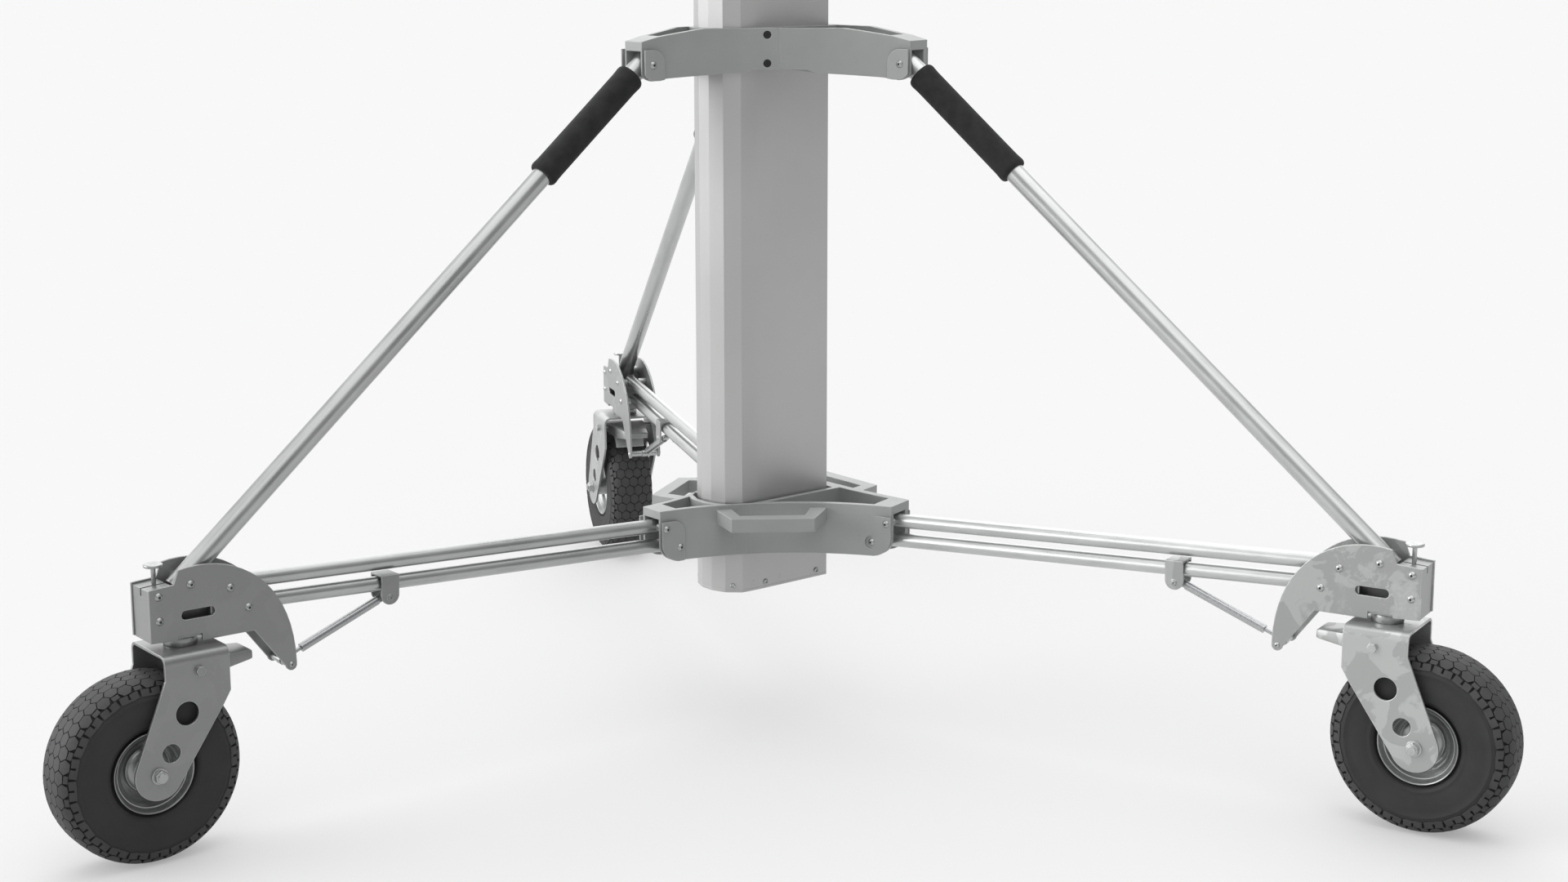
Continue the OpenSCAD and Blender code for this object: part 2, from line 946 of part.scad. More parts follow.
// Foot pedal: a folded plate on the hex bolt, tapering towards the column, with
// the brake shoe hanging from its root in front of the tyre
module brake_pedal(n)
    color([0.6, 0.61, 0.6])
        in_leg(n) {
            slab(-28, 28)
                polygon([[998, 270], [1002, 270], [985.5, 227.5], [981, 229]]);
            for (side = [-1, 1])
                slab(side > 0 ? 25 : -28, side > 0 ? 28 : -25)
                    polygon([[999, 268], [1010, 262], [1010, 255], [985, 231]]);
            difference() {
                intersection() {
                    slab(-40, 40)
                        polygon([
                            [1026, 272], [1010, 274], [927, 261.5], [926, 254],
                            [956, 247], [1000, 254], [1026, 256]]);
                    translate([0, 0, 200])
                        linear_extrude(120)
                            polygon([[920, -21], [1026, -38], [1026, 38], [920, 21]]);
                }
                intersection() {
                    slab(-60, 60)
                        polygon([
                            [1030, 269], [1010, 271], [929, 258.8], [929, 240],
                            [1000, 240], [1030, 250]]);
                    translate([0, 0, 200])
                        linear_extrude(120)
                            polygon([[920, -18], [1040, -35.5], [1040, 35.5], [920, 18]]);
                }
                cross_bar(pedal_pin, 8.1, 60);
            }
        }

tyre_r = tyre_d / 2;

// Tyre section: a rounded crown, bulging sidewalls and a bead on the rim
function tyre_side(k) = let (a = 90 * k / 10) [
    rim_d / 2 + 2 + (tyre_r - rim_d / 2 - 2) * (0.5 + 0.5 * sin(a) ^ 0.62),
    tyre_w / 2 * cos(a) ^ 0.5];

tyre_half = concat(
    [[48, 30], [rim_d / 2 - 1, 33], [rim_d / 2 + 1, 36.5], [70, 41.4]],
    [for (k = [0:9]) tyre_side(k)]);

module tyre(n)
    color([0.16, 0.16, 0.16])
        in_leg(n)
            translate([axle_pin[0], 0, axle_pin[1]])
                rotate([90, 0, 0])
                    rotate_extrude($fn = 96)
                        polygon(concat(
                            tyre_half,
                            [[tyre_r, 0]],
                            [for (k = [len(tyre_half) - 1:-1:0])
                                [tyre_half[k][0], -tyre_half[k][1]]]));

// Pressed rim: hub, stepped dish, barrel and rolled flange
rim_half = [
    [6.05, 48.9], [17, 48.9], [17, 30], [24, 27], [34, 27], [38, 31],
    [44.5, 31], [44.5, 36.8], [rim_d / 2 - 1, 36.8], [rim_d / 2, 35],
    [rim_d / 2 - 1, 33], [48, 30]];

module rim(n)
    color([0.68, 0.69, 0.68])
        in_leg(n)
            translate([axle_pin[0], 0, axle_pin[1]])
                rotate([90, 0, 0])
                    rotate_extrude($fn = 96)
                        polygon(concat(
                            rim_half,
                            [for (k = [len(rim_half) - 1:-1:0])
                                [rim_half[k][0], -rim_half[k][1]]]));

column();
column_foot();
column_cap();
lower_collar();
upper_collar_front();
upper_collar_rear();
collar_bolts();
mast_lower();
mast_upper();
head();
winch();
crank();
for (n = [1:3]) {
    leg = str("leg", n, "_");
    upper_bar(n);
    lower_bar(n);
    strut_clamp(n);
    bracket_plates(n);
    bracket_block(n);
    bracket_bolts(n);
    brace_tube(n);
    brace_grip(n);
    pull_pin(n);
    strut_cylinder(n);
    strut_rod(n);
    caster_fork(n);
    brake_pedal(n);
    axle(n);
    rim(n);
    tyre(n);
}
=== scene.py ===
# Looks of a roller stand for lights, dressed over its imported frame.
# Metres, +Z up, floor at z = 0, +X along the front leg.
import json
import math

import bmesh
import bpy
from mathutils import Matrix, Vector


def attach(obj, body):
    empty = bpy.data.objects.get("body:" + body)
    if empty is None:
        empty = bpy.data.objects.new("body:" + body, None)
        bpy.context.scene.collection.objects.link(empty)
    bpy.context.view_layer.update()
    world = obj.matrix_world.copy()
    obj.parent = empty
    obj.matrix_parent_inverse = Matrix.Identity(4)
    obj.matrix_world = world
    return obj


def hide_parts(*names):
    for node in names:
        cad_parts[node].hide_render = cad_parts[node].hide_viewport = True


# Legs

# They turn about the column, which stands behind the middle of the footprint
COLUMN_X = -0.383
LEG_TURN = {1: 0.0, 2: 110.25, 3: -110.25}
LEG_START = {1: 0.0, 2: -0.0258, 3: -0.0258}
# Places in a leg's own plane, as (distance out, height)
UPPER_PIN, UPPER_END = (0.2395, 0.332), (0.9575, 0.3625)
BRACE_PIN, BRACE_FOOT = (0.2555, 1.033), (1.014, 0.3765)
AXLE = (1.0825, 0.130)
SWIVEL_RACE = (1.020, 0.2961)
PULL_PIN = (1.053, 0.401)

# Axle, whose ends stand out of the fork

FORK_HALF = 0.0535
AXLE_RADIUS, AXLE_STANDOUT = 0.006, 0.0118
# Washer, nut and the nut's round top, as (radius, from, to, sides, chamfer), outwards of the fork
AXLE_END = (
    (0.0115, 0.0, 0.002, 48, 0.0005),
    (0.0096, 0.002, 0.0092, 6, 0.0012),
    (0.0086, 0.006, 0.0096, 48, 0.001),
)

# Wheel, about its own axle

# Half of the tyre's outline from the crown's middle to the bead, as (radius, distance to the side)
CROWN = [
    (0.1300, 0.0000), (0.1299, 0.0090), (0.1297, 0.0166), (0.1289, 0.0233), (0.1274, 0.0283),
    (0.1254, 0.0322), (0.1229, 0.0353), (0.1196, 0.0378), (0.1157, 0.0396), (0.1109, 0.0410),
]
SIDEWALL = [
    (0.1060, 0.0415), (0.1048, 0.0416), (0.1042, 0.0421), (0.1026, 0.0422), (0.1020, 0.0419),
    (0.0930, 0.0420), (0.0820, 0.0419), (0.0730, 0.0413), (0.0680, 0.0403), (0.0672, 0.0406),
    (0.0662, 0.0403), (0.0630, 0.0388), (0.0608, 0.0364), (0.0598, 0.0330), (0.0570, 0.0312),
    (0.0500, 0.0300),
]
# Half of the rim's pressed section, from the hub out to the rolled flange
RIM = [
    (0.0062, 0.0489), (0.0165, 0.0489), (0.0165, 0.0250), (0.0178, 0.0216), (0.0215, 0.0200),
    (0.0270, 0.0180), (0.0298, 0.0160), (0.0306, 0.0150), (0.0316, 0.0148), (0.0326, 0.0154),
    (0.0340, 0.0170), (0.0372, 0.0182), (0.0396, 0.0190), (0.0412, 0.0200), (0.0430, 0.0226),
    (0.0442, 0.0250), (0.0462, 0.0272), (0.0474, 0.0284), (0.0500, 0.0310), (0.0526, 0.0342),
    (0.0540, 0.0366), (0.0550, 0.0378), (0.0562, 0.0382), (0.0570, 0.0375), (0.0570, 0.0362),
    (0.0560, 0.0350), (0.0530, 0.0334), (0.0490, 0.0300),
]
ROUND_STEPS = 120

# Tread, measured from the crown's middle along the outline

TREAD_PITCHES = 24
GROOVE_DEPTH = 0.0031
# Where the grooves have run out down the shoulder, and over what length they do
GROOVE_END, GROOVE_RUNOUT = 0.0525, 0.0055
# Stations of the groove floor, and how far below the last of them it still has its own rubber
GROOVE_FLOOR = (0.0, 0.01, 0.018, 0.024, 0.029, 0.033, 0.037, 0.041, 0.0445, 0.047, 0.0495)
GROOVE_SLACK = 0.001
# A block's height as a share of the groove's depth, its taper, and the chamfer round its top
BLOCK_HEIGHT, BLOCK_TAPER, BLOCK_CHAMFER = 1.15, 0.985, 0.00025
# Six-sided blocks over the crown: rows beside the middle one, spacing, half sizes and turn
CROWN_ROWS, CROWN_SPACING, CROWN_BLOCK, CROWN_TURN = 4, 0.00825, (0.00795, 0.01075), 4
# Lugs of a shoulder, as (place down it, place round the tyre in pitches, half sizes, turn)
SHOULDER_LUGS = (
    (0.0372, 0.5, (0.0033, 0.0056), 0),
    (0.0468, 0.25, (0.0053, 0.0068), 7),
    (0.0468, -0.25, (0.0053, 0.0068), -4),
    (0.0507, 0.0, (0.0017, 0.0025), 0),
)

# Cast block of the bracket, in the leg's plane

BLOCK_HALF = 0.026
BLOCK_IN, BLOCK_OUT = 0.984, 1.072
BLOCK_BOTTOM, BLOCK_SHELF = 0.3035, 0.350
# Its outer part is raised, and slit for the pull pin
RAISED_FROM, RAISED_TOP_IN, RAISED_TOP_OUT = 1.0378, 0.3765, 0.3745
SLIT_HALF, SLIT_FLOOR = 0.0021, 0.3640
# Hollows behind the slots of the plates
POCKET_OUT, POCKET_UP, POCKET_DEPTH = (0.986, 1.031), (0.3265, 0.3445), 0.014

# Column's foot: screws and closed holes, as (along the column, half width, turn of the face)

FOOT_SCREWS = ((0.1240, 0.0440, 40), (0.067, 0.0535, 2.6), (-0.038, 0.0487, 2.6))
FOOT_SCREW_Z, FOOT_SCREW_SUNK = 0.2262, 0.0004
# Radius and height of a screw's head
FOOT_SCREW_HEAD, CLAMP_SCREW_HEAD = (0.0042, 0.0026), (0.0052, 0.0030)
FOOT_HOLES = ((0.092, 0.05404, 1), (0.040, 0.05226, 2.6), (-0.040, 0.04861, 2.6))
FOOT_HOLE_Z = 0.229
PLUG_RADIUS, PLUG_DEPTH, PLUG_RISE = 0.0036, 0.001, 0.00004

# Collars

# Where their arms end, in a leg's own plane
LOWER_REACH, UPPER_REACH = 0.2475, 0.2695
# Walls that close the lower collar: as (x, y) on the left side, where the casting's wall runs out
# behind the column's corner and where it starts again. The new wall overlaps it at both ends,
# sunk there by a share of its own thickness
WALL_ENDS = ((-0.2722, 0.0620), (-0.2624, 0.0560))
WALL_Z, WALL_HEIGHT, WALL_THICKNESS = 0.27905, 0.0799, 0.0045
WALL_OVERLAP, WALL_SUNK = 0.007, 0.08
# Lower end of the upper collar's guide pads, and how far from the column's middle they reach
PADS_BOTTOM, PADS_REACH = 1.0225, 0.12
CLAMP_SCREW_HEIGHTS = (1.074, 1.032)
CLAMP_SCREW_OUT, CLAMP_SCREW_ASIDE = 0.1062, 0.022

# Through bolts: their heads, made smaller by a share, stand out of the cheeks or the plates

HEAD_SHARE = 0.85
SOCKET_RADIUS, SHANK_RADIUS = 0.0023, 0.0042
CHEEK_HALF, PLATES_HALF = 0.0312, 0.0295

# Studio, with x to the right and y away from the camera

STUDIO = Matrix.Translation((COLUMN_X, 0, 0)) @ Matrix.Rotation(math.radians(141.89), 4, "Z")
CAMERA_AT = (0.009, -3.7844, 1.2373)
CAMERA_PITCH = -11.99
CAMERA_LENS, CAMERA_SENSOR = 56.06, 36
FLOOR_RADIUS, FLOOR_DROP = 90, 0.0004
# Grey of the floor as it lights the stand, and as it is seen, with its glow
FLOOR_GREY, FLOOR_SEEN, FLOOR_GLOW = 0.5, 0.39, 0.33
# A broad light overhead, and weaker ones: (name, towards, strength, width in degrees)
LAMPS = (
    ("overhead", (0.05, 0.1, 1.0), 0.8, 60),
    ("front", (0.1, -0.8, 0.75), 0.32, 40),
    ("left", (-1.0, -0.15, 0.3), 0.4, 40),
)
# The pale room, dim on the right, and its bright screens overhead, on the left and behind, as
# (towards, lean where it starts, lean where it is full, level before, level after)
SCREENS = (
    ((-0.5, 0.2, 0.3), -0.6, 0.9, 0.33, 0.62),
    ((0.05, 0.1, 1), 0.45, 0.95, 0.0, 0.8),
    ((-1, -0.02, 0.1), 0.76, 0.92, 0.0, 2.9),
    ((0, 1, 0.25), 0.7, 0.9, 0.0, 1.3),
)

# How near each other points count as the same, and faces as level
SAME_POINT, SAME_FACE = 1e-6, 1e-4

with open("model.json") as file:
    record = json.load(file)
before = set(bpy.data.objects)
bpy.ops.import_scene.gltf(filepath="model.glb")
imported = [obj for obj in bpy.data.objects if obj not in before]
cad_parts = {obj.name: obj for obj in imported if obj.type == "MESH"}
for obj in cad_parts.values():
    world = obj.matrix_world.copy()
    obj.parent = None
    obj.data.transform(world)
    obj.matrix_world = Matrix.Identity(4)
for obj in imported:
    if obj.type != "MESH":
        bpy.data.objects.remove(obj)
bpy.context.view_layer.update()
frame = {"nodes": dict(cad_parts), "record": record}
record = frame["record"]


def slope_of(start, end):
    return math.atan2(end[1] - start[1], end[0] - start[0])


def leg_place(leg, at=(0.0, 0.0), slope=0.0):
    """Where a leg's own plane lies: X outwards along the slope, Y across the leg, Z up."""
    return (
        Matrix.Translation((COLUMN_X, 0, 0))
        @ Matrix.Rotation(math.radians(LEG_TURN[leg]), 4, "Z")
        @ Matrix.Translation((LEG_START[leg] + at[0], 0, at[1]))
        @ Matrix.Rotation(-slope, 4, "Y")
    )


def wheel_place(leg):
    """The wheel's own place, with Z along its axle."""
    return leg_place(leg, AXLE) @ Matrix.Rotation(math.pi / 2, 4, "X")


# Finishes


class Finish:
    """A material laid out as nodes on a piece's own coordinates."""

    def __init__(self, name, colour, metallic, roughness):
        self.material = bpy.data.materials.new(name)
        self.material.use_nodes = True
        self.material.diffuse_color = (*colour, 1)
        self.tree = self.material.node_tree
        self.surface = self.tree.nodes["Principled BSDF"]
        self.surface.inputs["Base Color"].default_value = (*colour, 1)
        self.surface.inputs["Metallic"].default_value = metallic
        self.surface.inputs["Roughness"].default_value = roughness
        self.coordinates = self.add("ShaderNodeTexCoord").outputs["Object"]

    def add(self, kind, inputs=None, **settings):
        node = self.tree.nodes.new(kind)
        for name, value in settings.items():
            setattr(node, name, value)
        for name, value in (inputs or {}).items():
            if isinstance(value, bpy.types.NodeSocket):
                self.tree.links.new(value, node.inputs[name])
            else:
                node.inputs[name].default_value = value
        return node

    def combined(self, first, second, operation):
        return self.add("ShaderNodeMath", {0: first, 1: second}, operation=operation).outputs[0]

    def turned(self, turn=(0, 0, 0), stretch=(1, 1, 1), vector=None):
        """The piece's coordinates, or others, turned and then stretched."""
        turned = self.add(
            "ShaderNodeMapping", {"Vector": vector or self.coordinates, "Rotation": turn})
        return self.add(
            "ShaderNodeMapping", {"Vector": turned.outputs[0], "Scale": stretch}).outputs[0]

    def noise(self, scale, detail=3.0, vector=None, distortion=0.0):
        return self.add(
            "ShaderNodeTexNoise",
            {
                "Vector": vector or self.coordinates,
                "Scale": scale,
                "Detail": detail,
                "Distortion": distortion,
            },
        ).outputs["Fac"]

    def spread(self, value, low, high, to_low, to_high):
        """A value's range mapped to another one."""
        return self.add(
            "ShaderNodeMapRange",
            {
                "Value": value,
                "From Min": low,
                "From Max": high,
                "To Min": to_low,
                "To Max": to_high,
            },
        ).outputs[0]

    def mixed(self, share, first, second):
        """Two colours mixed; the node has them on inputs 6 and 7, and the result on output 2."""
        mix = self.add("ShaderNodeMix", data_type="RGBA")
        self.tree.links.new(share, mix.inputs["Factor"])
        for socket, colour in ((mix.inputs[6], first), (mix.inputs[7], second)):
            if isinstance(colour, bpy.types.NodeSocket):
                self.tree.links.new(colour, socket)
            else:
                socket.default_value = (*colour, 1)
        return mix.outputs[2]

    def rounded(self, radius):
        """The surface's normal with its edges rounded."""
        return self.add("ShaderNodeBevel", {"Radius": radius}, samples=6).outputs[0]

    def outer_edge(self, rounded, radius):
        """How near an outer edge a point is, by how far the rounded normal leans: the mask of the
        painted edge highlights.
        """
        flat = self.add("ShaderNodeNewGeometry").outputs["Normal"]
        facing = self.add("ShaderNodeVectorMath", {0: rounded, 1: flat}, operation="DOT_PRODUCT")
        near = self.spread(facing.outputs["Value"], 0.988, 0.91, 0.0, 1.0)
        hollow = self.add("ShaderNodeAmbientOcclusion", {"Distance": radius * 3}, samples=6)
        outer = self.spread(hollow.outputs["AO"], 0.6, 0.85, 0.0, 1.0)
        return self.combined(near, outer, "MULTIPLY")

    def bump(self, height, distance, strength, normal=None):
        inputs = {"Height": height, "Distance": distance, "Strength": strength}
        if normal:
            inputs["Normal"] = normal
        return self.add("ShaderNodeBump", inputs).outputs[0]

    def set(self, socket, value):
        if isinstance(value, bpy.types.NodeSocket):
            self.tree.links.new(value, self.surface.inputs[socket])
        else:
            self.surface.inputs[socket].default_value = value


def shaded(colour, level):
    return tuple(min(1.0, channel * level) for channel in colour)


def satin_aluminium():
    """Anodised extrusion: fine lines up the column and a soft, cloudy sheen."""
    finish = Finish("satin_aluminium", (0.46, 0.46, 0.46), 0.6, 0.36)
    lines = finish.noise(1.0, 2.0, finish.turned(stretch=(900, 900, 3)))
    clouds = finish.noise(4.0, 4.0)
    finish.set("Base Color", finish.mixed(
        finish.spread(clouds, 0.35, 0.7, 0, 1), (0.44, 0.44, 0.44), (0.48, 0.48, 0.48)))
    finish.set("Roughness", finish.spread(clouds, 0.3, 0.7, 0.34, 0.4))
    finish.set("Normal", finish.bump(lines, 0.00002, 0.5, finish.rounded(0.0012)))
    return finish.material


def painted(name, colour, edge_highlight_colour):
    """Painted casting: fine grain, paler along its outer edges as a painted highlight."""
    roughness, edge_radius = 0.42, 0.0018
    finish = Finish(name, colour, 0.0, roughness)
    grain = finish.noise(900.0, 3.0)
    clouds = finish.noise(14.0, 4.0)
    rounded = finish.rounded(edge_radius)
    edge_highlight = finish.combined(
        finish.outer_edge(rounded, edge_radius), finish.spread(clouds, 0.3, 0.7, 0.5, 1.0),
        "MULTIPLY")
    shade = finish.mixed(
        finish.spread(clouds, 0.3, 0.7, 0, 1), shaded(colour, 0.95), shaded(colour, 1.05))
    finish.set("Base Color", finish.mixed(edge_highlight, shade, edge_highlight_colour))
    finish.set("Roughness", finish.spread(grain, 0.3, 0.7, roughness * 0.9, roughness * 1.12))
    finish.set("Normal", finish.bump(grain, 0.00004, 0.5, rounded))
    return finish.material


def zinc_tube(name, level, turn, slope):
    """Zinc on drawn tube: long faint streaks and patches that run along it."""
    colour = shaded((0.83, 0.845, 0.84), level)
    finish = Finish(name, colour, 0.9, 0.3)
    # the coordinates are turned so that X runs along the tube
    flat = finish.turned((0, 0, -math.radians(turn)))
    streaks = finish.noise(1.0, 4.0, finish.turned((0, slope, 0), (4, 500, 500), flat))
    patches = finish.noise(1.0, 3.0, finish.turned((0, slope, 0), (14, 50, 50), flat))
    finish.set("Base Color", finish.mixed(
        finish.spread(patches, 0.35, 0.65, 0, 1), shaded(colour, 0.93), shaded(colour, 1.05)))
    finish.set("Roughness", finish.spread(patches, 0.3, 0.7, 0.26, 0.36))
    finish.set("Normal", finish.bump(streaks, 0.00001, 0.4, finish.rounded(0.0008)))
    return finish.material


def galvanised_plate(name, level, blotched, sheen=0.42):
    """Zinc on plate: soft-edged pale blotches, smears and specks, and a painted highlight along
    the cut edges.
    """
    colour = shaded((0.5, 0.512, 0.505), level)
    edge_radius = 0.0018
    finish = Finish(name, colour, 0.55, sheen)
    large = finish.noise(17.0, 5.0, distortion=0.9)
    smears = finish.noise(1.0, 4.0, finish.turned((0.3, 0.5, 0.4), (90, 90, 12)), 0.3)
    specks = finish.noise(190.0, 3.0)
    region = finish.spread(finish.noise(11.0, 2.0), 0.54, 0.66, 0.0, 1.0)
    pale = finish.spread(large, 0.515, 0.54, 0.0, 1.0)
    streaked = finish.combined(
        finish.spread(smears, 0.54, 0.66, 0.0, 0.8), region, "MULTIPLY")
    dotted = finish.combined(finish.spread(specks, 0.55, 0.6, 0.0, 1.0), region, "MULTIPLY")
    plate = finish.mixed(
        pale, shaded(colour, 1 - 0.12 * blotched), shaded(colour, 1 + 0.1 * blotched))
    plate = finish.mixed(
        finish.combined(streaked, dotted, "MAXIMUM"), plate, shaded(colour, 1 + 0.2 * blotched))
    rounded = finish.rounded(edge_radius)
    edge = finish.outer_edge(rounded, edge_radius)
    finish.set("Base Color", finish.mixed(edge, plate, shaded(colour, 2.1 - 0.5 * blotched)))
    finish.set("Roughness", finish.spread(
        pale, 0.0, 1.0, sheen + 0.05 * blotched, sheen - 0.05 * blotched))
    finish.set("Normal", finish.bump(finish.noise(240.0, 3.0), 0.00004, 0.3, rounded))
    return finish.material


def bare_metal(name, colour, roughness, metallic=0.9, edge_highlight=1.6):
    """Turned or cast bare metal with a faint grain, its outer edges lighter as a painted
    highlight.
    """
    edge_radius = 0.0006
    finish = Finish(name, colour, metallic, roughness)
    grain = finish.noise(320.0, 4.0)
    shade = finish.mixed(
        finish.spread(grain, 0.3, 0.7, 0, 1), shaded(colour, 0.92), shaded(colour, 1.05))
    rounded = None
    if edge_highlight:
        rounded = finish.rounded(edge_radius)
        shade = finish.mixed(
            finish.outer_edge(rounded, edge_radius), shade, shaded(colour, edge_highlight))
    finish.set("Base Color", shade)
    finish.set("Roughness", finish.spread(grain, 0.3, 0.7, roughness * 0.85, roughness * 1.2))
    finish.set("Normal", finish.bump(grain, 0.00003 if edge_highlight else 0.00001, 0.4, rounded))
    return finish.material


def moulded_rubber(name, colour):
    """Matte rubber with a fine moulded grain and a little dust."""
    finish = Finish(name, colour, 0.0, 0.62)
    dust = finish.noise(30.0, 5.0)
    grain = finish.noise(700.0, 2.0)
    finish.set("Base Color", finish.mixed(
        finish.spread(dust, 0.35, 0.7, 0, 1), shaded(colour, 0.85), shaded(colour, 1.15)))
    finish.set("Roughness", finish.spread(dust, 0.3, 0.7, 0.56, 0.7))
    finish.set("Specular IOR Level", 0.3)
    finish.set("Normal", finish.bump(grain, 0.00008, 0.5, finish.rounded(0.0005)))
    return finish.material


def grip_foam():
    """Closed-cell foam: matte black with a pitted skin."""
    finish = Finish("grip_foam", (0.022, 0.022, 0.023), 0.0, 0.85)
    cells = finish.add(
        "ShaderNodeTexVoronoi", {"Vector": finish.coordinates, "Scale": 900.0}).outputs["Distance"]
    soft = finish.noise(60.0, 4.0)
    finish.set("Base Color", finish.mixed(
        finish.spread(soft, 0.3, 0.7, 0, 1), (0.017, 0.017, 0.018), (0.027, 0.027, 0.028)))
    finish.set("Specular IOR Level", 0.2)
    finish.set("Sheen Weight", 0.05)
    finish.set("Normal", finish.bump(cells, 0.0003, 0.6))
    return finish.material


RUBBER = moulded_rubber("tyre_rubber", (0.03, 0.03, 0.031))
TREAD = moulded_rubber("tread_rubber", (0.056, 0.056, 0.058))
FOAM = grip_foam()
# The groove floor's rubber is darker, as painted shade in the grooves
GROOVE_SHADE = moulded_rubber("groove_painted_shade", (0.012, 0.012, 0.0125))
# The tyre's materials, and which of them the tread and the groove floor have
TYRE_MATERIALS = (RUBBER, TREAD, GROOVE_SHADE)
TREAD_INDEX, GROOVE_INDEX = 1, 2
# Darker steel painted into the block's hollows and the bolts' sockets, as their shade
RECESS_SHADE = bare_metal("recess_painted_shade", (0.13, 0.132, 0.135), 0.45, 0.5)
DARK_STEEL = bare_metal("dark_steel", (0.035, 0.035, 0.037), 0.45, 0.6)
# By material slot
FINISHES = {
    "column_aluminium": satin_aluminium(),
    # the second colour of each painted finish is the painted highlight on its outer edges
    "grey_casting": painted("grey_casting", (0.3, 0.31, 0.305), (0.5, 0.51, 0.505)),
    "bright_bolt": bare_metal("bright_bolt", (0.4, 0.41, 0.41), 0.32),
    "foam": FOAM,
    "tyre_rubber": RUBBER,
    "black_plastic": painted("black_plastic", (0.02, 0.02, 0.021), (0.06, 0.06, 0.06)),
    "dark_casting": painted("dark_casting", (0.075, 0.077, 0.08), (0.17, 0.17, 0.175)),
}
# Each leg's zinc is one zinc made lighter or darker as painted light and shade: the front leg's is
# darkest, the second leg's the brightest and most blotched
LEG_PAINTED_LIGHT = {1: 0.5, 2: 0.66, 3: 0.58}
LEG_BLOTCHES = {1: 0.15, 2: 1.0, 3: 0.5}
# Factors on that level for the leg's plates and for its fork, painted light as well: the forks are
# made brighter as a painted reflection
PLATE_LEVEL = {1: 0.93, 2: 1.14, 3: 1.14}
FORK_LEVEL = {1: 0.96, 2: 1.3, 3: 1.3}
LEG_FINISHES = {
    leg: {
        "galvanised": galvanised_plate(
            f"leg{leg}_galvanised", level * PLATE_LEVEL[leg], LEG_BLOTCHES[leg]),
        "folded_fork": galvanised_plate(
            f"leg{leg}_folded_fork", level * FORK_LEVEL[leg], LEG_BLOTCHES[leg], 0.34),
        "cast_block": bare_metal(
            f"leg{leg}_cast_block", shaded((0.55, 0.56, 0.555), level), 0.42, 0.6),
        "bright_bolt": bare_metal(f"leg{leg}_bolt", shaded((0.72, 0.73, 0.73), level), 0.3, 0.85),
        "strut_steel": bare_metal(
            f"leg{leg}_strut_steel", shaded((0.7, 0.71, 0.72), level), 0.28, 0.9, None),
        "pressed_zinc": bare_metal(
            f"leg{leg}_pressed_zinc", shaded((0.66, 0.675, 0.67), 0.2 + 0.53 * level), 0.32, 0.85),
    }
    for leg, level in LEG_PAINTED_LIGHT.items()
}
BAR_SLOPE = slope_of(UPPER_PIN, UPPER_END)
BRACE_SLOPE = slope_of(BRACE_PIN, BRACE_FOOT)


def solid_finish(name, slot):
    """The finish of one of the frame's solids, mostly by its material slot."""
    leg = int(name[3]) if name.startswith("leg") else None
    if slot == "zinc_tube":
        slope = BRACE_SLOPE if "brace" in name else BAR_SLOPE
        return zinc_tube(name + "_zinc", LEG_PAINTED_LIGHT[leg], LEG_TURN[leg], slope)
    if name.endswith("caster_fork"):
        return LEG_FINISHES[leg]["folded_fork"]
    if name == "column_foot":
        return FINISHES["column_aluminium"]
    own = LEG_FINISHES.get(leg, {})
    return own.get(slot) or FINISHES.get(slot) or LEG_FINISHES[1][slot]


def finish_frame():
    for row in record["subparts"]:
        materials = frame["nodes"][row["node"]].data.materials
        materials.clear()
        materials.append(solid_finish(row["node"], row["material_slot"]))


# Making pieces


def whole(bm):
    return bm.verts[:] + bm.edges[:] + bm.faces[:]


def verts_of(geom):
    return [item for item in geom if isinstance(item, bmesh.types.BMVert)]


def between(value, ends, margin=0.0):
    return ends[0] - margin < value < ends[1] + margin


def lathed(profile, steps, closed=True):
    """A profile of (radius, height) spun round Z."""
    bm = bmesh.new()
    rail = [bm.verts.new((radius, 0, height)) for radius, height in profile]
    edges = [bm.edges.new(pair) for pair in zip(rail, rail[1:])]
    if closed:
        edges.append(bm.edges.new((rail[-1], rail[0])))
    bmesh.ops.spin(
        bm, geom=rail + edges, axis=(0, 0, 1), cent=(0, 0, 0), angle=math.tau, steps=steps,
        use_merge=True)
    bmesh.ops.remove_doubles(bm, verts=bm.verts, dist=SAME_POINT)
    return bm


def both_sides(half):
    """A closed profile from its half, for a part that is the same on both sides."""
    return half + [(radius, -height) for radius, height in reversed(half)]


def solid_copy(node):
    """A copy of one of the frame's solids, its loose triangles merged."""
    bm = bmesh.new()
    bm.from_mesh(frame["nodes"][node].data)
    bmesh.ops.remove_doubles(bm, verts=bm.verts, dist=SAME_POINT)
    return bm


def joined(first, second):
    """Adds the second bmesh to the first."""
    spare = bpy.data.meshes.new("spare")
    second.to_mesh(spare)
    second.free()
    first.from_mesh(spare)
    bpy.data.meshes.remove(spare)
    return first


def finished(bm, name, place, materials, body, sharp=38):
    """Turns a bmesh into a piece: placed in its mesh, smooth but for its sharp edges."""
    bmesh.ops.transform(bm, matrix=place, verts=bm.verts)
    bmesh.ops.recalc_face_normals(bm, faces=bm.faces)
    for face in bm.faces:
        face.smooth = True
    for edge in bm.edges:
        edge.smooth = len(edge.link_faces) == 2 and edge.calc_face_angle(0) < math.radians(sharp)
    mesh = bpy.data.meshes.new(name)
    bm.to_mesh(mesh)
    bm.free()
    for material in materials:
        mesh.materials.append(material)
    piece = bpy.data.objects.new(name, mesh)
    bpy.context.scene.collection.objects.link(piece)
    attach(piece, body)
    return piece


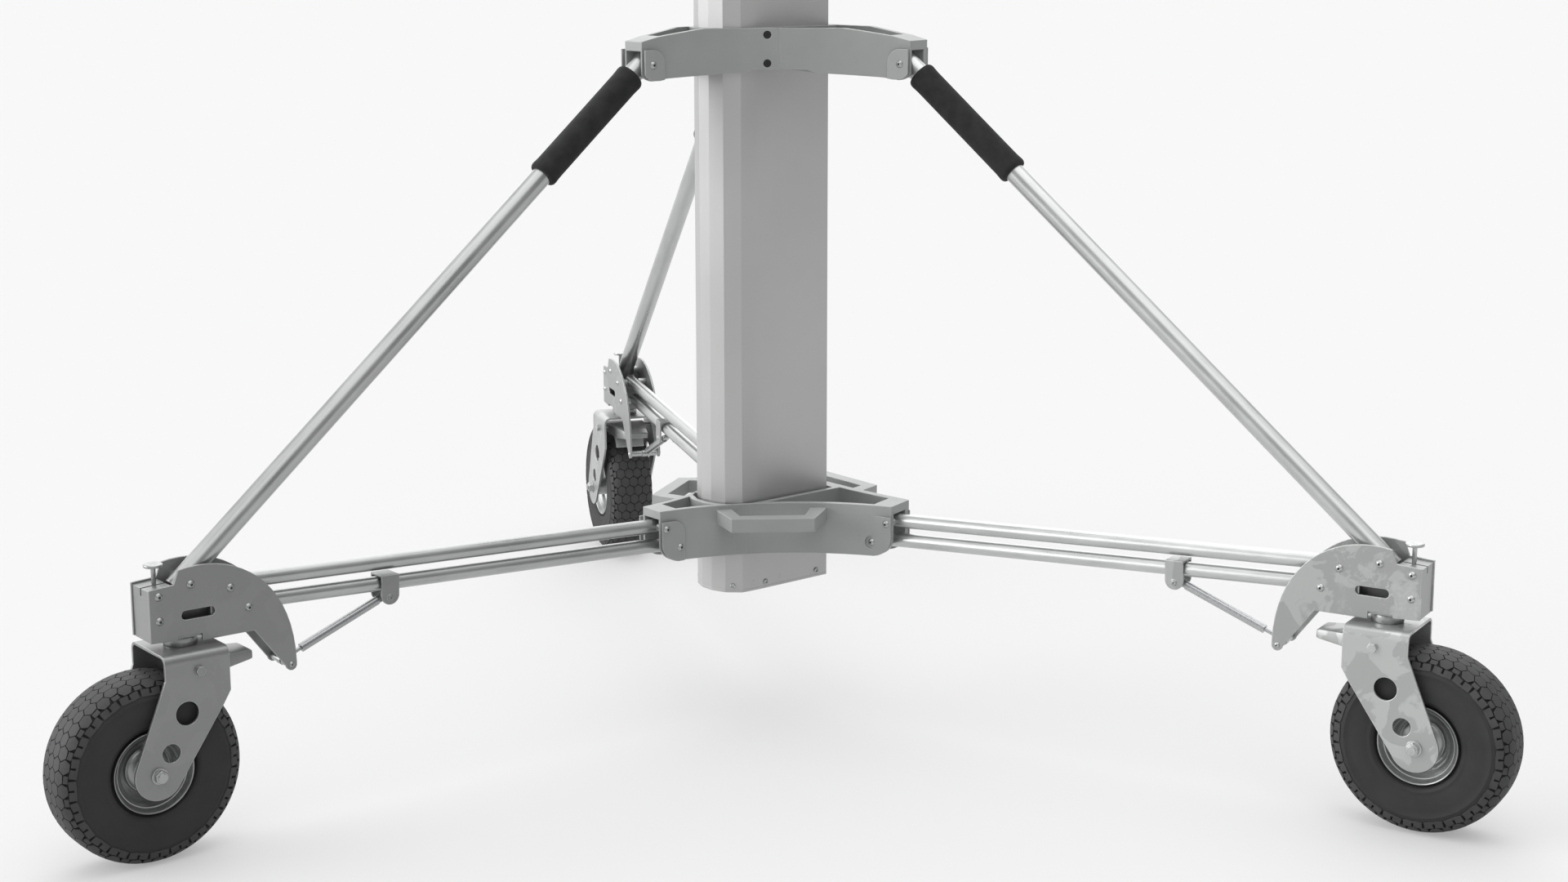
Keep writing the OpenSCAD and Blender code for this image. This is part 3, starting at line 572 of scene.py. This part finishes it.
def add_bar(bm, radius, low, high, sides=32, chamfer=0.0, place=Matrix()):
    """A round or many-sided bar along Z, its outer rim chamfered at the high end."""
    made = bmesh.ops.create_cone(
        bm, cap_ends=True, segments=sides, radius1=radius, radius2=radius, depth=high - low)
    verts = made["verts"]
    bmesh.ops.translate(bm, verts=verts, vec=(0, 0, (low + high) / 2))
    if chamfer:
        rim = [
            edge for edge in {edge for vert in verts for edge in vert.link_edges}
            if all(vert.co.z > high - SAME_POINT for vert in edge.verts)]
        bevelled = bmesh.ops.bevel(
            bm, geom=rim, offset=chamfer, segments=3, profile=0.5, affect="EDGES", material=-1)
        verts = list({vert for vert in verts if vert.is_valid} | set(bevelled["verts"]))
    bmesh.ops.transform(bm, matrix=place, verts=verts)


def add_slab(bm, outline, low, high, chamfer=0.0):
    """A flat shape of the leg's plane, as (out, up), made thick across the leg."""
    base = [bm.verts.new((out, low, up)) for out, up in outline]
    raised = verts_of(bmesh.ops.extrude_face_region(bm, geom=[bm.faces.new(base)])["geom"])
    bmesh.ops.translate(bm, verts=raised, vec=(0, high - low, 0))
    if chamfer:
        edges = list({edge for vert in base + raised for edge in vert.link_edges})
        bmesh.ops.bevel(
            bm, geom=edges, offset=chamfer, segments=2, profile=0.5, affect="EDGES", material=-1)


# Wheels


def crown_point(arc, height):
    """A point on the tyre's outline, by its distance from the crown's middle along the outline,
    raised by a height: (radius, distance to the side)."""
    side, left = (-1 if arc < 0 else 1), abs(arc)
    for (r0, y0), (r1, y1) in zip(CROWN, CROWN[1:]):
        step = math.hypot(r1 - r0, y1 - y0)
        if left <= step or (r1, y1) == CROWN[-1]:
            share = left / step
            out = Vector((y1 - y0, r0 - r1)) / step
            return (
                r0 + (r1 - r0) * share + out[0] * height,
                side * (y0 + (y1 - y0) * share + out[1] * height))
        left -= step


def add_block(bm, sides, arc, along, half_sizes, turn):
    """One moulded block, laid flat at its place in the tread: X across it, Y round the tyre."""
    made = bmesh.ops.create_cone(
        bm, cap_ends=True, segments=sides, radius1=1, radius2=BLOCK_TAPER, depth=1)
    verts = made["verts"]
    if sides == 4:
        bmesh.ops.rotate(
            bm, verts=verts, cent=(0, 0, 0), matrix=Matrix.Rotation(math.pi / 4, 3, "Z"))
    wide = max(vert.co.x for vert in verts)
    long = max(vert.co.y for vert in verts)
    height = GROOVE_DEPTH * BLOCK_HEIGHT
    bmesh.ops.scale(
        bm, verts=verts, vec=(half_sizes[0] / wide, half_sizes[1] / long, height))
    bmesh.ops.rotate(
        bm, verts=verts, cent=(0, 0, 0), matrix=Matrix.Rotation(math.radians(turn), 3, "Z"))
    bmesh.ops.translate(bm, verts=verts, vec=(arc, along, -height / 2))
    chamfered = bmesh.ops.bevel(
        bm, geom=top_faces(verts)[0].edges[:], offset=BLOCK_CHAMFER, segments=1, profile=0.5,
        affect="EDGES", material=-1)
    bmesh.ops.poke(bm, faces=top_faces(chamfered["verts"]))


def top_faces(verts):
    return [
        face for face in {face for vert in verts for face in vert.link_faces}
        if face.normal.z > 0.9]


def tread():
    """The staggered tread: six-sided blocks over the crown, turned a little so that the grooves
    between them taper, and lugs down each shoulder with a long and a short notch by turns."""
    pitch = math.tau * CROWN[0][0] / TREAD_PITCHES
    bm = bmesh.new()
    for row in range(-CROWN_ROWS, CROWN_ROWS + 1):
        along = 0.0 if row % 2 == 0 else pitch / 2
        turn = CROWN_TURN if row > 0 else -CROWN_TURN
        add_block(bm, 6, row * CROWN_SPACING, along, CROWN_BLOCK, turn)
    for side in (-1, 1):
        for arc, pitches, half_sizes, turn in SHOULDER_LUGS:
            add_block(bm, 4, side * arc, pitches * pitch, half_sizes, side * turn)
    for vert in bm.verts:
        radius, aside = crown_point(vert.co.x, vert.co.z)
        turn = vert.co.y / CROWN[0][0]
        vert.co = (radius * math.cos(turn), radius * math.sin(turn), aside)
    one_pitch = whole(bm)
    for step in range(1, TREAD_PITCHES):
        copy = bmesh.ops.duplicate(bm, geom=one_pitch)["geom"]
        bmesh.ops.rotate(
            bm, verts=verts_of(copy), cent=(0, 0, 0),
            matrix=Matrix.Rotation(math.tau * step / TREAD_PITCHES, 3, "Z"))
    for face in bm.faces:
        face.material_index = TREAD_INDEX
    return bm


def carcass():
    """The tyre under its tread: groove floor, shoulder, ribbed sidewall and bead."""
    floor = [
        crown_point(arc, -GROOVE_DEPTH * min(1, max(0, (GROOVE_END - arc) / GROOVE_RUNOUT)))
        for arc in GROOVE_FLOOR]
    bm = lathed([floor[0]] + both_sides(floor[1:] + SIDEWALL), ROUND_STEPS)
    # the groove floor gets the darker rubber, as painted shade
    for face in bm.faces:
        middle = face.calc_center_median()
        radius = math.hypot(middle.x, middle.y)
        if radius > floor[-1][0] - GROOVE_SLACK and abs(middle.z) < floor[-1][1]:
            face.material_index = GROOVE_INDEX
    return bm


def dress_wheel(leg):
    """The tyre, the pressed rim and the axle with its washers and nuts."""
    name = f"leg{leg}_"
    zinc = LEG_FINISHES[leg]
    tyre = finished(
        joined(carcass(), tread()), name + "treaded_tyre", wheel_place(leg), TYRE_MATERIALS,
        name + "wheel")
    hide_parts(name + "tyre")
    rim = finished(
        lathed(both_sides(RIM), ROUND_STEPS), name + "pressed_rim", wheel_place(leg),
        (zinc["pressed_zinc"],), name + "wheel", sharp=50)
    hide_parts(name + "rim")

    bm = bmesh.new()
    add_bar(bm, AXLE_RADIUS, -FORK_HALF - AXLE_STANDOUT, FORK_HALF + AXLE_STANDOUT)
    for end in (0, math.pi):
        for radius, low, high, sides, chamfer in AXLE_END:
            add_bar(
                bm, radius, FORK_HALF + low, FORK_HALF + high, sides, chamfer,
                Matrix.Rotation(end, 4, "X"))
    axle = finished(
        bm, name + "axle_bolt", wheel_place(leg), (zinc["bright_bolt"],), name + "fork")
    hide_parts(name + "axle")


# Wheel bracket, pedal and swivel


def dress_block(leg):
    """The cast block: slit along its top, and hollow behind the slots of the plates."""
    name = f"leg{leg}_"
    outline = [
        (BLOCK_IN, BLOCK_BOTTOM), (BLOCK_OUT, BLOCK_BOTTOM), (BLOCK_OUT, RAISED_TOP_OUT),
        (RAISED_FROM, RAISED_TOP_IN), (RAISED_FROM, BLOCK_SHELF), (BLOCK_IN, BLOCK_SHELF)]
    slit_outline = (
        outline[:2] + [(BLOCK_OUT, SLIT_FLOOR), (RAISED_FROM, SLIT_FLOOR)] + outline[4:])
    bm = bmesh.new()
    add_slab(bm, outline, -BLOCK_HALF, -SLIT_HALF)
    add_slab(bm, slit_outline, -SLIT_HALF, SLIT_HALF)
    add_slab(bm, outline, SLIT_HALF, BLOCK_HALF)
    # cut along the same lines, the three slabs become one solid without walls inside it
    cuts = [((out, 0, 0), (1, 0, 0)) for out in (*POCKET_OUT, RAISED_FROM)]
    cuts += [((0, 0, up), (0, 0, 1)) for up in (*POCKET_UP, BLOCK_SHELF, SLIT_FLOOR)]
    for point, across in cuts:
        bmesh.ops.bisect_plane(bm, geom=whole(bm), plane_co=point, plane_no=across)
    bmesh.ops.remove_doubles(bm, verts=bm.verts, dist=SAME_POINT)
    seams = [
        face for face in bm.faces
        if abs(abs(face.calc_center_median().y) - SLIT_HALF) < SAME_POINT
        and face.calc_center_median().z < SLIT_FLOOR]
    bmesh.ops.delete(bm, geom=seams, context="FACES_ONLY")
    for side in (-1, 1):
        pocket = [
            face for face in bm.faces
            if abs(face.calc_center_median().y - side * BLOCK_HALF) < SAME_FACE
            and between(face.calc_center_median().x, POCKET_OUT)
            and between(face.calc_center_median().z, POCKET_UP)]
        sunk = bmesh.ops.extrude_face_region(bm, geom=pocket)["geom"]
        bmesh.ops.delete(bm, geom=pocket, context="FACES_ONLY")
        bmesh.ops.translate(bm, verts=verts_of(sunk), vec=(0, -side * POCKET_DEPTH, 0))
    # the hollows' faces get the darker steel, as painted shade
    pocket_sides = (BLOCK_HALF - POCKET_DEPTH - SAME_FACE, BLOCK_HALF - SAME_FACE)
    for face in bm.faces:
        middle = face.calc_center_median()
        face.material_index = int(
            between(abs(middle.y), pocket_sides)
            and between(middle.x, POCKET_OUT, SAME_FACE)
            and between(middle.z, POCKET_UP, SAME_FACE))
    block = finished(
        bm, name + "hollow_block", leg_place(leg),
        (LEG_FINISHES[leg]["cast_block"], RECESS_SHADE), name + "bracket")
    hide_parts(name + "bracket_block")


def dress_pedal(leg):
    """The foot pedal: a folded channel that narrows to its tip, with the brake shoe below it."""
    name = f"leg{leg}_"
    zinc = LEG_FINISHES[leg]["galvanised"]
    # the channel's folded corners, and the thickness of its sides and of its top
    fold, nip, wall, roof = 0.0030, 0.0009, 0.0022, 0.0026
    stations = [
        # out, top, depth of the flanges, half width
        (0.9265, 0.2672, 0.0105, 0.0212), (0.9300, 0.2690, 0.0135, 0.0219),
        (0.9700, 0.2708, 0.0200, 0.0285), (1.0060, 0.2738, 0.0215, 0.0345),
        (1.0260, 0.2720, 0.0160, 0.0378)]
    # the tip is folded down, and the shoe hangs between two webs
    tip = [(0.9265, 0.2567), (0.9265, 0.2668), (0.9290, 0.2668), (0.9290, 0.2567)]
    shoe = [(0.998, 0.2705), (1.002, 0.2705), (0.9855, 0.2275), (0.981, 0.229)]
    web = [(0.999, 0.268), (1.010, 0.262), (1.010, 0.255), (0.985, 0.231)]
    tip_half, shoe_half, web_half, shoe_chamfer = 0.0206, 0.028, 0.025, 0.0006

    bm = bmesh.new()
    rings = []
    for out, top, depth, half in stations:
        outside = [
            (half, top - depth), (half, top - fold), (half - nip, top - nip), (half - fold, top)]
        inside = [(half - wall, top - depth), (half - wall, top - roof)]
        profile = [(-y, z) for y, z in outside] + outside[::-1]
        profile += inside + [(-y, z) for y, z in inside[::-1]]
        ring = [bm.verts.new((out, y, z)) for y, z in profile]
        rings.append([bm.edges.new(pair) for pair in zip(ring, ring[1:] + ring[:1])])
    for first, second in zip(rings, rings[1:]):
        bmesh.ops.bridge_loops(bm, edges=first + second)
    bmesh.ops.holes_fill(bm, edges=[edge for edge in bm.edges if edge.is_boundary])
    add_slab(bm, tip, -tip_half, tip_half)
    add_slab(bm, shoe, -shoe_half, shoe_half, shoe_chamfer)
    add_slab(bm, web, -shoe_half, -web_half)
    add_slab(bm, web, web_half, shoe_half)
    pedal = finished(
        bm, name + "folded_pedal", leg_place(leg), (zinc,), name + "pedal")
    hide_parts(name + "brake_pedal")


def dress_swivel(leg):
    """The swivel's race between the fork and the bracket, and the pull pin above the bracket."""
    name = f"leg{leg}_"
    zinc = LEG_FINISHES[leg]
    race = [
        (0.0152, 0.0), (0.02205, 0.0), (0.02205, -0.0058), (0.0226, -0.0058), (0.0228, -0.0052),
        (0.0228, 0.0050), (0.0222, 0.0064), (0.0210, 0.0070), (0.0152, 0.0070)]
    finished(
        lathed(race, 64), name + "swivel_race", leg_place(leg, SWIVEL_RACE),
        (zinc["pressed_zinc"],), name + "fork", sharp=50)
    pin = [
        (0.0, -0.0590), (0.0020, -0.0590), (0.0028, -0.0580), (0.0028, -0.0235),
        (0.0033, -0.0228), (0.0033, -0.0002), (0.0124, 0.0), (0.0130, 0.0006),
        (0.0130, 0.0032), (0.0123, 0.0040), (0.0060, 0.0040), (0.0052, 0.0036), (0.0, 0.0036)]
    pull = finished(
        lathed(pin, 48, closed=False), name + "pull_knob", leg_place(leg, PULL_PIN),
        (zinc["bright_bolt"],), name + "pull_pin", sharp=50)
    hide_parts(name + "pull_pin")


# Grips


def dress_grip(leg):
    """Foam sleeve on the brace, its rolled ends slightly fuller than its middle."""
    name = f"leg{leg}_"
    start, length, inner, outer = 0.024, 0.209, 0.0151, 0.0213
    profile = [
        (inner, 0.0), (outer - 0.0035, 0.0), (outer - 0.0013, 0.0008), (outer, 0.0032),
        (outer + 0.0003, 0.0070), (outer, 0.0110), (outer - 0.0004, 0.0180),
        (outer - 0.0005, length / 2)]
    profile += [(radius, length - along) for radius, along in reversed(profile[:-1])]
    place = leg_place(leg, BRACE_PIN, BRACE_SLOPE) @ Matrix.Translation((start, 0, 0))
    grip = finished(
        lathed(profile, 64), name + "foam_grip", place @ Matrix.Rotation(math.pi / 2, 4, "Y"),
        (FOAM,), name + "brace")
    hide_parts(name + "brace_grip")


# Screws and bolts


def add_socket_screw(bm, place, radius, height):
    """A cap screw: a ring round a socket, standing on Z."""
    round_off, socket, socket_foot, socket_floor = 0.0006, 0.62, 0.56, 0.35
    profile = [
        (0.0, 0.0), (radius, 0.0), (radius, height - round_off), (radius - round_off, height),
        (radius * socket, height), (radius * socket_foot, height * socket_floor),
        (0.0, height * socket_floor)]
    screw = lathed(profile, 24, closed=False)
    bmesh.ops.transform(screw, matrix=place, verts=screw.verts)
    joined(bm, screw)


def foot_place(side, along, half, turn, height):
    """A place on a side face of the column's foot, with Z out of the face."""
    return (
        Matrix.Translation((COLUMN_X + along, side * half, height))
        @ Matrix.Rotation(math.radians(-side * turn), 4, "Z")
        @ Matrix.Rotation(-side * math.pi / 2, 4, "X"))


def dress_foot_screws():
    """Three small screws on each side that hold the column's foot, and flush plugs in the
    solid's own screw holes, which lie beside them."""
    screws, plugs = bmesh.new(), bmesh.new()
    for side in (-1, 1):
        for along, half, turn in FOOT_SCREWS:
            place = foot_place(side, along, half - FOOT_SCREW_SUNK, turn, FOOT_SCREW_Z)
            add_socket_screw(screws, place, *FOOT_SCREW_HEAD)
        for along, half, turn in FOOT_HOLES:
            place = foot_place(side, along, half, turn, FOOT_HOLE_Z)
            add_bar(plugs, PLUG_RADIUS, -PLUG_DEPTH, PLUG_RISE, place=place)
    finished(
        screws, "column_foot_screws", Matrix(), (FINISHES["bright_bolt"],), "column")
    finished(
        plugs, "column_hole_plugs", Matrix(), (FINISHES["column_aluminium"],), "column")


def dress_clamp_screws():
    """Dark cap screws at the bottom of the upper collar's seats."""
    bm = bmesh.new()
    for side in (-1, 1):
        for height in CLAMP_SCREW_HEIGHTS:
            place = (
                Matrix.Translation((COLUMN_X, 0, height))
                @ Matrix.Rotation(math.radians(side * LEG_TURN[2] / 2), 4, "Z")
                @ Matrix.Translation((CLAMP_SCREW_OUT, -side * CLAMP_SCREW_ASIDE, 0))
                @ Matrix.Rotation(math.pi / 2, 4, "Y"))
            add_socket_screw(bm, place, *CLAMP_SCREW_HEAD)
    finished(bm, "clamp_screws", Matrix(), (DARK_STEEL,), "column")


def leg_under(point):
    """The leg that a point of a collar lies on, and the point in that leg's own plane."""
    places = {leg: leg_place(leg).inverted() @ point for leg in LEG_TURN}
    leg = max(places, key=lambda n: places[n].x - abs(places[n].y))
    return leg, places[leg]


def separate_bolts(bm):
    """The vertices of each bolt of a row of bolts."""
    bolts, left = [], set(bm.verts)
    while left:
        bolt, ends = set(), [left.pop()]
        while ends:
            vert = ends.pop()
            bolt.add(vert)
            near = {edge.other_vert(vert) for edge in vert.link_edges} & left
            left -= near
            ends += near
        bolts.append(bolt)
    return bolts


def dress_bolts(name, base, leg, body, metal):
    """Through bolts with low round heads, their sockets darkened as painted shade."""
    bm = solid_copy(name)
    for bolt in separate_bolts(bm):
        middle = sum((vert.co for vert in bolt), Vector()) / len(bolt)
        place = leg_place(leg or leg_under(middle)[0])
        points = {vert: place.inverted() @ vert.co for vert in bolt}
        out, up = (
            (min(point[axis] for point in points.values())
             + max(point[axis] for point in points.values())) / 2
            for axis in (0, 2))
        for vert, point in points.items():
            radius = math.hypot(point.x - out, point.z - up)
            above = abs(point.y) - base
            if ((above > SAME_FACE and radius > SOCKET_RADIUS)
                    or (above > -SAME_FACE and radius > SHANK_RADIUS)):
                vert.co = place @ Vector((
                    out + (point.x - out) * HEAD_SHARE, point.y, up + (point.z - up) * HEAD_SHARE))
        for face in {face for vert in bolt for face in vert.link_faces}:
            face.material_index = int(all(
                abs(points[vert].y) - base > SAME_FACE
                and math.hypot(points[vert].x - out, points[vert].z - up) < SOCKET_RADIUS
                for vert in face.verts))
    bolts = finished(bm, name + "_round_head", Matrix(), (metal, RECESS_SHADE), body)
    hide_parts(name)


# Collars


def collar_copy(name, reach):
    """A collar's casting, the ends of its cheeks level with the ends of its arms."""
    bm = solid_copy(name)
    for vert in bm.verts:
        leg, point = leg_under(vert.co)
        if point.x > reach:
            point.x = reach
            vert.co = leg_place(leg) @ point
    return bm


def close_wall(bm, side):
    """Closes the lower collar's wall behind a corner of the column, from the vertical edge where
    it runs out to the one where it starts again."""
    first, last = (
        min((vert.co for vert in bm.verts), key=lambda co: (co.xy - near).length).xy
        - Vector((COLUMN_X, 0))
        for near in (Vector((x, side * y)) for x, y in WALL_ENDS))
    along = (last - first).normalized() * WALL_OVERLAP
    inwards = Vector((side * along.y, -side * along.x)).normalized() * WALL_THICKNESS
    sunk = inwards * WALL_SUNK
    outline = [
        first - along + sunk, first, last, last + along + sunk, last + along + inwards,
        first - along + inwards]
    base = bm.faces.new([bm.verts.new((COLUMN_X + x, y, WALL_Z)) for x, y in outline])
    wall = bmesh.ops.extrude_face_region(bm, geom=[base])["geom"]
    bmesh.ops.translate(bm, verts=verts_of(wall), vec=(0, 0, WALL_HEIGHT))


def dress_collars():
    """The castings: the lower one's walls closed round the column's corners, and the upper one's
    guide pads level with its underside."""
    grey = (FINISHES["grey_casting"],)
    bm = collar_copy("lower_collar", LOWER_REACH)
    for side in (-1, 1):
        close_wall(bm, side)
    collar = finished(
        bm, "lower_collar_casting", Matrix(), grey, "column", sharp=24)
    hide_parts("lower_collar")
    for half in ("upper_collar_front", "upper_collar_rear"):
        bm = collar_copy(half, UPPER_REACH)
        for vert in bm.verts:
            if math.hypot(vert.co.x - COLUMN_X, vert.co.y) < PADS_REACH:
                vert.co.z = max(vert.co.z, PADS_BOTTOM)
        collar = finished(
            bm, half + "_casting", Matrix(), grey, "column", sharp=24)
        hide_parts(half)


# Studio


def build_floor():
    """White paper that glows a little where it is seen, straight or in metal, so that the shadows
    on it stay pale."""
    floor = bmesh.new()
    bmesh.ops.create_circle(floor, cap_ends=True, segments=96, radius=FLOOR_RADIUS)
    mesh = bpy.data.meshes.new("floor")
    floor.to_mesh(mesh)
    floor.free()
    paper = Finish("studio_floor", (FLOOR_GREY,) * 3, 0.0, 1.0)
    paper.set("Specular IOR Level", 0.0)
    ray = paper.add("ShaderNodeLightPath").outputs
    seen = paper.combined(ray["Is Camera Ray"], ray["Is Glossy Ray"], "MAXIMUM")
    seen = paper.combined(seen, ray["Is Transmission Ray"], "MAXIMUM")
    paper.set("Base Color", paper.mixed(seen, (FLOOR_GREY,) * 3, (FLOOR_SEEN,) * 3))
    paper.set("Emission Color", (1, 1, 1, 1))
    paper.set("Emission Strength", paper.spread(seen, 0.0, 1.0, 0.0, FLOOR_GLOW))
    mesh.materials.append(paper.material)
    sheet = bpy.data.objects.new("floor", mesh)
    sheet.location = (0, 0, -FLOOR_DROP)
    bpy.context.scene.collection.objects.link(sheet)


def set_camera():
    camera = bpy.data.cameras.new("camera")
    camera.lens, camera.sensor_width = CAMERA_LENS, CAMERA_SENSOR
    camera.clip_end = 500
    stand = bpy.data.objects.new("camera", camera)
    stand.matrix_world = (
        STUDIO @ Matrix.Translation(CAMERA_AT)
        @ Matrix.Rotation(math.radians(90 + CAMERA_PITCH), 4, "X"))
    bpy.context.scene.collection.objects.link(stand)
    bpy.context.scene.camera = stand


def hang_lamps():
    for name, towards, strength, width in LAMPS:
        lamp = bpy.data.lights.new(name, "SUN")
        lamp.energy, lamp.angle = strength, math.radians(width)
        lit = bpy.data.objects.new(name, lamp)
        back = STUDIO.to_3x3() @ Vector(towards)
        lit.matrix_world = back.to_track_quat("Z", "Y").to_matrix().to_4x4()
        bpy.context.scene.collection.objects.link(lit)


def light_room():
    """The world: each screen brightens it towards one side, and they add up."""
    world = bpy.data.worlds.new("room")
    bpy.context.scene.world = world
    world.use_nodes = True
    nodes, links = world.node_tree.nodes, world.node_tree.links
    direction = nodes.new("ShaderNodeTexCoord").outputs["Generated"]
    total = None
    for towards, *limits in SCREENS:
        lean = nodes.new("ShaderNodeVectorMath")
        lean.operation = "DOT_PRODUCT"
        lean.inputs[1].default_value = (STUDIO.to_3x3() @ Vector(towards)).normalized()
        links.new(direction, lean.inputs[0])
        level = nodes.new("ShaderNodeMapRange")
        level.interpolation_type = "SMOOTHSTEP"
        for socket, value in zip(level.inputs[1:5], limits):
            socket.default_value = value
        links.new(lean.outputs["Value"], level.inputs[0])
        part = level.outputs[0]
        if total is not None:
            plus = nodes.new("ShaderNodeMath")
            links.new(total, plus.inputs[0])
            links.new(part, plus.inputs[1])
            part = plus.outputs[0]
        total = part
    links.new(total, nodes["Background"].inputs["Strength"])
    nodes["Background"].inputs["Color"].default_value = (1, 1, 1, 1)


finish_frame()
for leg in LEG_TURN:
    dress_wheel(leg)
    dress_swivel(leg)
    dress_block(leg)
    dress_pedal(leg)
    dress_grip(leg)
dress_foot_screws()
dress_clamp_screws()
dress_collars()
dress_bolts("collar_bolts", CHEEK_HALF, None, "column", FINISHES["bright_bolt"])
for leg in LEG_TURN:
    dress_bolts(
        f"leg{leg}_bracket_bolts", PLATES_HALF, leg, f"leg{leg}_bracket",
        LEG_FINISHES[leg]["bright_bolt"])
build_floor()
set_camera()
hang_lamps()
light_room()
bpy.context.scene.view_settings.view_transform = "Standard"
